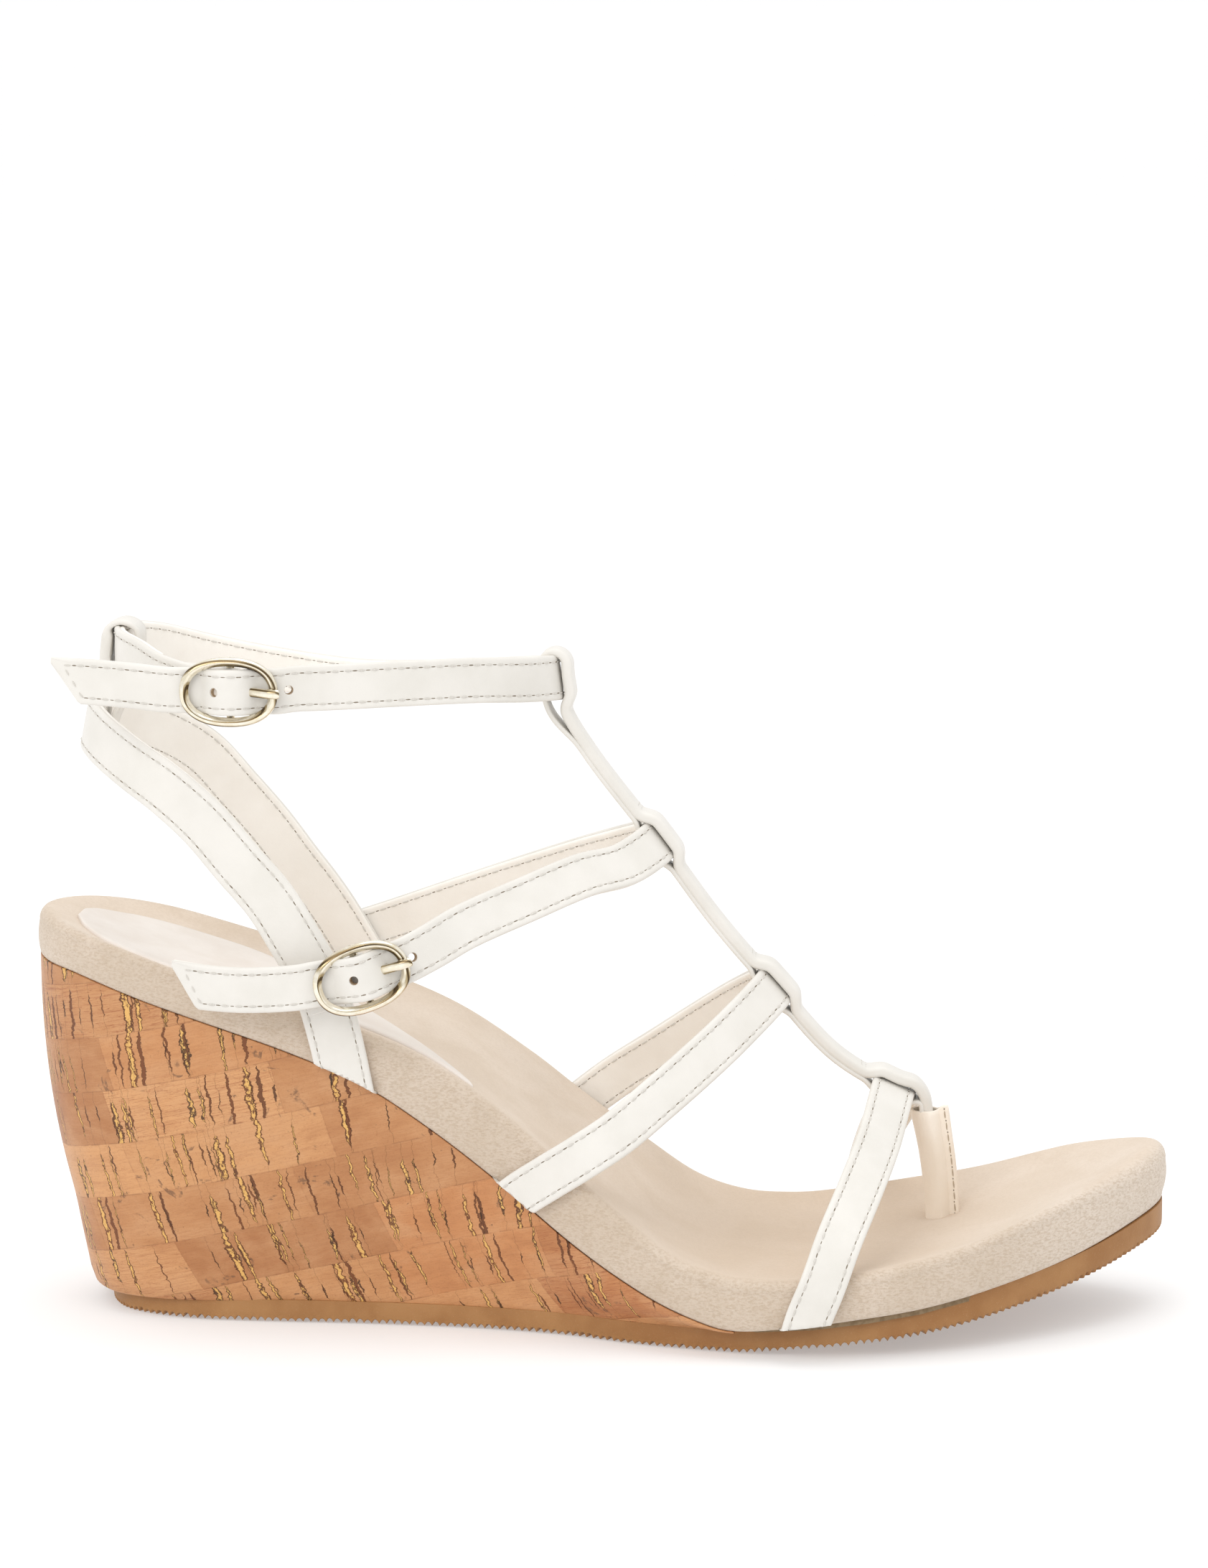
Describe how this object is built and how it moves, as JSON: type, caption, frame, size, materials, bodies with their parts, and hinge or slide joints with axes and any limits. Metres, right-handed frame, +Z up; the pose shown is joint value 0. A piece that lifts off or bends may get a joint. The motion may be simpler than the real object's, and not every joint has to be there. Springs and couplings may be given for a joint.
{
  "type": "wedge sandal",
  "caption": "Open wedge sandal for the right foot: cork-wrapped wedge, suede footbed, rubber sole, stitched straps on a central spine and a toe post, oval buckles at ankle and instep.",
  "frame": {"origin": "on the ground under the middle of the sandal's box", "axes": "+X from heel to toe, +Y to the inner (big toe) side, +Z up"},
  "size_m": [0.2366, 0.0896, 0.1458],
  "materials": {
    "sole_rubber": "matt, finely rippled edge",
    "wedge_core": "raw, hidden",
    "cork": "natural cork sheet in patchwork strips, satin",
    "board": "pressed fibre board, hidden",
    "steel": "plain, hidden",
    "foam": "soft foam, hidden",
    "suede": "microsuede with a short nap",
    "label": "smooth, ivory",
    "strap": "smooth synthetic leather, ivory, folded and stitched edges",
    "lining": "smooth synthetic leather, beige",
    "wrap": "smooth, cream",
    "buckle_metal": "polished, pale gold plating"
  },
  "bodies": {
    "sandal": {"outsole": "sole_rubber", "wedge_block": "wedge_core", "cork_wrap": "cork", "insole_board": "board", "heel_screw_1": "steel", "heel_screw_2": "steel", "heel_screw_3": "steel", "heel_screw_4": "steel", "footbed_core": "foam", "footbed_cover": "suede", "sock_label": "label", "sling_strap": "strap", "sling_strap_lining": "lining", "mid_strap": "strap", "mid_strap_lining": "lining", "toe_strap": "strap", "toe_strap_lining": "lining", "instep_strap": "strap", "instep_strap_lining": "lining", "spine_strap": "strap", "toe_post_wrap": "wrap", "back_loop": "strap", "instep_buckle_tab": "strap"},
    "ankle_loop": {"ankle_strap": "strap", "ankle_strap_lining": "lining"},
    "ankle_buckle": {"ankle_buckle_frame": "buckle_metal"},
    "ankle_prong": {"ankle_buckle_prong": "buckle_metal"},
    "instep_buckle": {"instep_buckle_frame": "buckle_metal"},
    "instep_prong": {"instep_buckle_prong": "buckle_metal"}
  },
  "joints": [
    {"name": "ankle_loop_rock", "type": "hinge", "parent": "sandal", "child": "ankle_loop", "pos_m": [-0.05726, 0.00269, 0.1357], "axis": [0.9979, 0.0312, -0.0571], "range_deg": [-5, 5]},
    {"name": "ankle_buckle_swivel", "type": "hinge", "parent": "ankle_loop", "child": "ankle_buckle", "pos_m": [-0.07176, -0.03181, 0.1344], "axis": [0, 0, 1], "range_deg": [-2, 2]},
    {"name": "ankle_prong_hinge", "type": "hinge", "parent": "ankle_buckle", "child": "ankle_prong", "pos_m": [-0.07176, -0.03181, 0.1344], "axis": [0, 0, -1], "range_deg": [0, 8]},
    {"name": "instep_buckle_swivel", "type": "hinge", "parent": "sandal", "child": "instep_buckle", "pos_m": [-0.04466, -0.03661, 0.0768], "axis": [-0.3429, 0, 0.9394], "range_deg": [-2, 2]},
    {"name": "instep_prong_hinge", "type": "hinge", "parent": "instep_buckle", "child": "instep_prong", "pos_m": [-0.04466, -0.03661, 0.0768], "axis": [0.3429, 0, -0.9394], "range_deg": [0, 8]}
  ]
}
